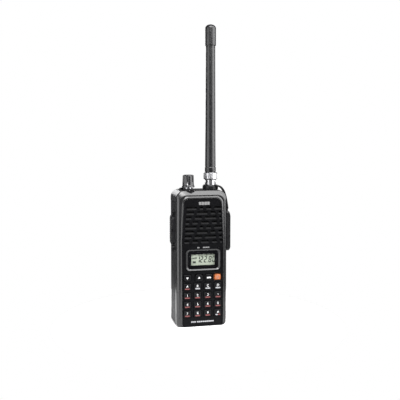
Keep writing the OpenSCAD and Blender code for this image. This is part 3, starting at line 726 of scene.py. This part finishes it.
class Key:
    """One key: a flange behind the panel, a slightly domed cap with rounded edges, and its print."""

    def __init__(self, name):
        self.name = name
        self.power = name == "key_power"
        low, high = corners(name)
        self.x, self.z = (low.x + high.x) / 2, (low.z + high.z) / 2
        self.face, self.back = low.y, high.y
        self.flange = (high.x - low.x, high.z - low.z)
        trim = 1.3 if self.power else 0
        self.w, self.h = self.flange[0] - 1.6 - trim, self.flange[1] - 1.4 - trim
        self.shape = Shape()

    def surface(self, u, v):
        off_x, off_z = 2 * (u - self.x) / self.w, 2 * (v - self.z) / self.h
        return self.face + DOME * (off_x ** 2 + off_z ** 2) / 2

    def ring(self, inset):
        """The cap's outline, drawn in by an inset, on its domed face."""
        r_low, r_top = (max(0.2, r - inset) for r in ROUND_KEYS.get(self.name, (KEY_R, KEY_R)))
        points = rounded(self.x, self.z, self.w - 2 * inset, self.h - 2 * inset, r_low, 5, r_top)
        return [(u, self.surface(u, v), v) for u, v in points]

    def cap(self):
        step_y = self.back - 0.8            # front of the flange
        side_y = self.face + 0.75           # the rounded edge starts here
        edge, steps = 0.42, 4
        flange = rounded(self.x, self.z, *self.flange, KEY_R)
        side = [(u, v) for u, y, v in self.ring(0)]
        rings = [at_y(flange, self.back), at_y(flange, step_y), at_y(side, step_y), at_y(side, side_y)]
        for i in range(1, steps + 1):
            a = math.radians(90 * i / steps)
            ring = self.ring(edge * (1 - math.cos(a)))
            rings.append([(u, y + edge * (1 - math.sin(a)), v) for u, y, v in ring])
        rings += [self.ring(share * self.h / 2) for share in (0.3, 0.5, 0.7)]
        self.shape.loft(rings)

    def mark(self, points, faces):
        """Print on the face, with its points about the key's middle."""
        places = [(self.x + u, self.z + v) for u, v in points]
        self.shape.add_mesh([(u, self.surface(u, v) - MARK_LIFT, v) for u, v in places], faces)

    def mark_bar(self, cu, cv, w, h):
        points = rounded(cu, cv, w, h, min(w, h) / 3, 2)
        self.mark(points, [list(range(len(points)))])

    def arrow(self, way):
        self.mark([(-1.2, -0.8 * way), (1.2, -0.8 * way), (0, 1.1 * way)], [[0, 1, 2]])

    def power_sign(self):
        """An open ring with a stroke at its top."""
        gap, count = 60, 20
        inner, outer = (arc(0, 0, r, 90 + gap / 2, 450 - gap / 2, count) for r in (1.1, 1.5))
        for k in range(count):
            self.mark([inner[k], outer[k], outer[k + 1], inner[k + 1]], [[0, 1, 2, 3]])
        self.mark_bar(0, 1.2, 0.4, 1.5)

    def character(self):
        """The key's character, with one or two bars below it in place of small print."""
        label = LEGENDS.get(self.name, self.name[len("key_"):].upper())
        points, faces = glyph(label, 2.2 if label in "*#" else 2.5)
        rise, bar_z = 0.75, -1.95
        self.mark([(u, v + rise) for u, v in points], faces)
        if label == "#":
            self.shape.paint = 3
            self.mark_bar(-1.3, bar_z, 2.4, 1.2)
            self.shape.paint = 2
            self.mark_bar(1.3, bar_z, 2.4, 1.2)
        else:
            self.shape.paint = 3 if label in "BCD" else 2
            self.mark_bar(0, bar_z, 5.0, 1.3)

    def build(self):
        self.cap()
        self.shape.paint = 1
        if self.name == "key_up":
            self.arrow(1)
        elif self.name == "key_down":
            self.arrow(-1)
        elif self.name == "key_band":
            self.mark_bar(0, -0.2, 4.2, 1.3)
        elif self.power:
            self.power_sign()
        else:
            self.character()
        paints = ["key_black", "print_white", "print_red", "print_silver"]
        if self.power:
            paints = ["key_orange", "print_grey"]
        self.shape.build(self.name + "_form", self.name, paints, paints[0], [self.name])


# ---------- knob and antenna ----------

KNOB_SKIRT = 4.2                      # the flutes start this far above the knob's foot
FLUTES = 6
FLUTE_DEPTH = 1.1
INDEX = math.radians(-110)            # direction of the index dot and of one flute


def flute(turn, radius, z):
    """How much a flute takes off the knob's radius: narrow grooves that fade at both ends."""
    foot, top = KNOB_LOW.z + KNOB_SKIRT, KNOB_HIGH.z
    if radius < (KNOB_HIGH.x - KNOB_LOW.x) / 2 - 2.4 or z < foot:
        return 0
    fade_in = min(1, max(0, z - foot) / 0.8)
    fade_out = min(1, max(0.35, (top - z) / 1.5))
    return -FLUTE_DEPTH * fade_in * fade_out * (0.5 + 0.5 * math.cos(FLUTES * (turn - INDEX))) ** 5


def knob():
    """The volume knob: a plain foot, a fluted grip that tapers, and a white dot above the foot."""
    foot, top = KNOB_LOW.z, KNOB_HIGH.z
    r = (KNOB_HIGH.x - KNOB_LOW.x) / 2
    steps = 7
    profile = [(3.3, foot), (r - 0.3, foot), (r, foot + 0.25), (r, foot + 1.5), (r - 0.15, foot + 1.75),
               (r - 0.45, foot + 1.95), (r - 0.5, foot + 2.4)]
    for i in range(1, steps + 1):
        profile.append((r - 0.5 - 0.3 * i / steps, foot + 2.4 + (top - foot - 3.6) * i / steps))
    profile += [(r - 0.9, top - 0.75), (r - 1.15, top - 0.35), (r - 1.5, top - 0.1), (r - 2.0, top),
                (r - 2.6, top - 0.05), (r - 3.0, top - 0.25), (1.0, top - 0.3)]
    shape = Shape()
    shape.loft(lathe(KNOB_AXIS, profile, 160, flute))
    shape.paint = 1
    way = Vector((math.cos(INDEX), math.sin(INDEX), 0))
    across = Vector((-way.y, way.x, 0))
    centre = Vector((*KNOB_AXIS, foot + 3.2)) + way * (r - 0.48)
    front = [centre + across * u + Vector((0, 0, v)) for u, v in arc(0, 0, 0.6, 0, 345, 23)]
    shape.loft([front, [p - way for p in front]], end=False)
    shape.build("volume_knob_form", "knob", ["knob_black", "print_white"], "knob_black",
                ["volume_knob"], sharp=50)


def whip():
    """The antenna: a collar, a groove, and a long whip that tapers."""
    foot = WHIP_LOW.z
    r, taper, steps = 5.45, 0.74, 24
    start = foot + 6.3
    profile = [(4.75, foot), (r, foot), (5.6, foot + 0.2), (5.68, foot + 4.2), (5.55, foot + 4.9),
               (5.3, foot + 5.3), (5.3, foot + 5.7), (r, start)]
    for i in range(1, steps + 1):
        share = i / steps
        profile.append((r - taper * share ** 0.75, start + (WHIP_HIGH.z - start) * share))
    shape = Shape()
    shape.loft(lathe(WHIP_AXIS, profile, 72))
    shape.build("antenna_whip_form", "antenna", ["antenna_rubber"], "antenna_rubber", ["antenna_whip"])


def whip_cap():
    """The thicker end of the antenna, with a rounded tip."""
    low, high = CAP_LOW.z, CAP_HIGH.z
    r, tip = 5.52, 4
    profile = [(4.76, low), (5.2, low), (5.42, low + 0.25), (r, low + 0.7), (r, high - tip)]
    for angle in (12, 24, 36, 48, 60, 72, 82):
        a = math.radians(angle)
        profile.append((r * math.cos(a), high - tip + tip * math.sin(a)))
    profile.append((0.2, high))
    shape = Shape()
    shape.loft(lathe(WHIP_AXIS, profile, 72))
    shape.build("antenna_cap_form", "antenna", ["antenna_rubber"], "antenna_rubber", ["antenna_cap"])


# ---------- strap and its hinge ----------

STRAP_LINE = [(16.5, 143.0), (24.5, 143.4), (27.0, 136.5), (29.2, 118.6)]   # Bezier points (x, z)
STRAP_THICK = 1.7
STRAP_HALF_W = 2.5
STRAP_Y = -7.1                        # middle of the strap and of its web


def bezier(points, t):
    a, b, c, d = (Vector(p) for p in points)
    return a * (1 - t) ** 3 + b * 3 * t * (1 - t) ** 2 + c * 3 * t * t * (1 - t) + d * t ** 3


def strap():
    """A rubber ring round the foot of the antenna, and the strap that leads from it to the cover."""
    shape = Shape()
    low = TOP + 0.02
    profile = [(6.4, low), (7.6, low), (8.0, low + 0.35), (8.05, low + 1.2), (8.0, low + 3.4),
               (7.7, low + 4.2), (7.3, low + 4.7), (6.8, 143.85), (5.6, 143.88), (5.25, 143.6),
               (5.2, 141.3), (6.35, 141.3)]
    ids = shape.loft(lathe(WHIP_AXIS, profile, 72), start=False, end=False)
    shape.skin(ids[-1], ids[0])
    first, span, steps = 0.02, 0.965, 28
    rings = []
    for i in range(steps + 1):
        t = first + span * i / steps
        here, ahead = bezier(STRAP_LINE, t), bezier(STRAP_LINE, t + 0.01)
        way = (ahead - here).normalized()
        side = Vector((-way.y, way.x))
        section = rounded(0, 0, STRAP_THICK, 2 * STRAP_HALF_W, 0.6, 4)
        rings.append([(here.x + side.x * u, STRAP_Y + v, here.y + side.y * u) for u, v in section])
    shape.loft(rings)
    shape.build("cover_strap_form", "radio", ["rubber"], "rubber", ["cover_strap"])


def cover_web():
    """The thin rubber web that lets the cover swing."""
    low, high, steps = corners("jack_cover")[1].z - 0.7, 119.6, 12
    shape = Shape()
    rings = []
    for i in range(steps + 1):
        share = i / steps
        z = low + (high - low) * share
        x = 28.95 + 0.02 * (high - z)
        thick = 1.1 - 0.35 * math.sin(math.pi * share)
        rings.append([(x + u, STRAP_Y + v, z) for u, v in rounded(0, 0, thick, 4.6, 0.35, 3)])
    shape.loft(rings)
    shape.build("cover_web", "radio", ["rubber"], "rubber",
                blend=("radio", "cover", (0.0292, -0.0071, 0.1192), (0.0292, -0.0071, 0.1174)))


# ---------- latch spring ----------

def latch_spring():
    """A coil between the rib of the case and the latch."""
    low, high = corners("latch_spring")
    wire_r, turns, steps, travel = 0.2, 5, 120, 1.5
    reach = (high.x - low.x) / 2 - wire_r
    cx, cz = (low.x + high.x) / 2, (low.z + high.z) / 2
    shape = Shape()
    rings = []
    for i in range(steps + 1):
        turn = 2 * math.pi * turns * i / steps
        y = low.y + wire_r + (high.y - low.y - 2 * wire_r) * i / steps
        section = arc(reach, y, wire_r, 0, 324, 9)
        rings.append([(cx + r * math.cos(turn), v, cz + r * math.sin(turn)) for r, v in section])
    shape.loft(rings)
    piece = shape.build("latch_spring_form", "radio", ["spring_steel"], "spring_steel",
                        ["latch_spring"])
    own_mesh(piece)


# ---------- plain printing ----------

def printing():
    """Plain printed dashes where the real face carries its marks."""
    shape = Shape()
    upper, lower = PANEL - INK, KEY_PANEL - INK
    small = 1.4
    dashes(shape, -3.3, 124.7, (2.55,) * 4, 0.3, 3.1, upper)
    dashes(shape, -4.9, 80.7, (1.0, 0.9), 0.25, small, lower)
    dashes(shape, 1.0, 80.7, (1.2, 1.2, 1.2, 1.2, 0.8), 0.25, small, lower)
    shape.paint = 1
    dashes(shape, -11.3, 4.3, (1.5,) * 3, 0.2, small, lower)
    dashes(shape, -5.4, 4.3, (1.75,) * 9, 0.25, small, lower)
    shape.build("panel_printing", "radio", ["print_grey", "print_silver"], "case_black")


def dashes(shape, x, z, widths, space, height, y):
    """A row of bars, from its lower left corner."""
    for width in widths:
        bar(shape, x, z, width, height, y, r=0.3)
        x += width + space


# ---------- CAD nodes that keep their own shape ----------

SHARP_ANGLE = math.radians(32)
BEVEL_ANGLE = math.radians(35)
FLAT_ANGLE = math.radians(0.4)


def smoothing():
    """Joins split points and shades smooth across shallow edges."""
    tree = bpy.data.node_groups.new("smoothing", "GeometryNodeTree")
    tree.interface.new_socket("Geometry", in_out="INPUT", socket_type="NodeSocketGeometry")
    tree.interface.new_socket("Geometry", in_out="OUTPUT", socket_type="NodeSocketGeometry")
    start = tree.nodes.new("NodeGroupInput")
    end = tree.nodes.new("NodeGroupOutput")
    join = tree.nodes.new("GeometryNodeMergeByDistance")
    join.inputs["Distance"].default_value = SAME_POINT
    faces = tree.nodes.new("GeometryNodeSetShadeSmooth")
    edges = tree.nodes.new("GeometryNodeSetShadeSmooth")
    edges.domain = "EDGE"
    angle = tree.nodes.new("GeometryNodeInputMeshEdgeAngle")
    shallow = tree.nodes.new("FunctionNodeCompare")
    shallow.data_type = "FLOAT"
    shallow.operation = "LESS_THAN"
    shallow.inputs["B"].default_value = SHARP_ANGLE
    tree.links.new(angle.outputs["Unsigned Angle"], shallow.inputs["A"])
    tree.links.new(shallow.outputs["Result"], edges.inputs["Shade Smooth"])
    tree.links.new(start.outputs[0], join.inputs["Geometry"])
    tree.links.new(join.outputs["Geometry"], faces.inputs["Geometry"])
    tree.links.new(faces.outputs["Geometry"], edges.inputs["Geometry"])
    tree.links.new(edges.outputs["Geometry"], end.inputs[0])
    return tree


SMOOTHING = smoothing()
# width of the rounded edges
EDGES = {"chassis": 0.35, "battery_case": 0.3, "battery_lid": 0.4, "belt_clip": 0.3, "clip_bracket": 0.25,
         "jack_cover": 0.6, "ptt_button": 0.18, "func_key": 0.25, "monitor_key": 0.25, "coupling_ring": 0.12,
         "antenna_plug": 0.15, "top_nuts": 0.15, "battery_latch": 0.2, "clip_pin": 0.2}


def keep_node(name):
    """Gives a CAD node its finish, rounded edges and even shading."""
    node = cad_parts[name]
    for place in node.material_slots:
        place.material = PAINTS[place.material.name.split(".")[0]]
    node.modifiers.new("smoothing", "NODES").node_group = SMOOTHING
    flat = node.modifiers.new("flat", "DECIMATE")
    flat.decimate_type = "DISSOLVE"
    flat.angle_limit = FLAT_ANGLE
    if name in EDGES:
        edge = node.modifiers.new("edge", "BEVEL")
        edge.width = EDGES[name] * MM
        edge.segments = 3
        edge.limit_method = "ANGLE"
        edge.angle_limit = BEVEL_ANGLE
        edge.harden_normals = False
    node.modifiers.new("normals", "WEIGHTED_NORMAL").keep_sharp = True


add_camera()
add_studio()
add_floor()
front_case()
display_window()
lcd_digits()
for key_name in KEYS:
    Key(key_name).build()
knob()
whip()
whip_cap()
strap()
cover_web()
latch_spring()
printing()
for node_name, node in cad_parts.items():
    if not node.hide_render:
        keep_node(node_name)
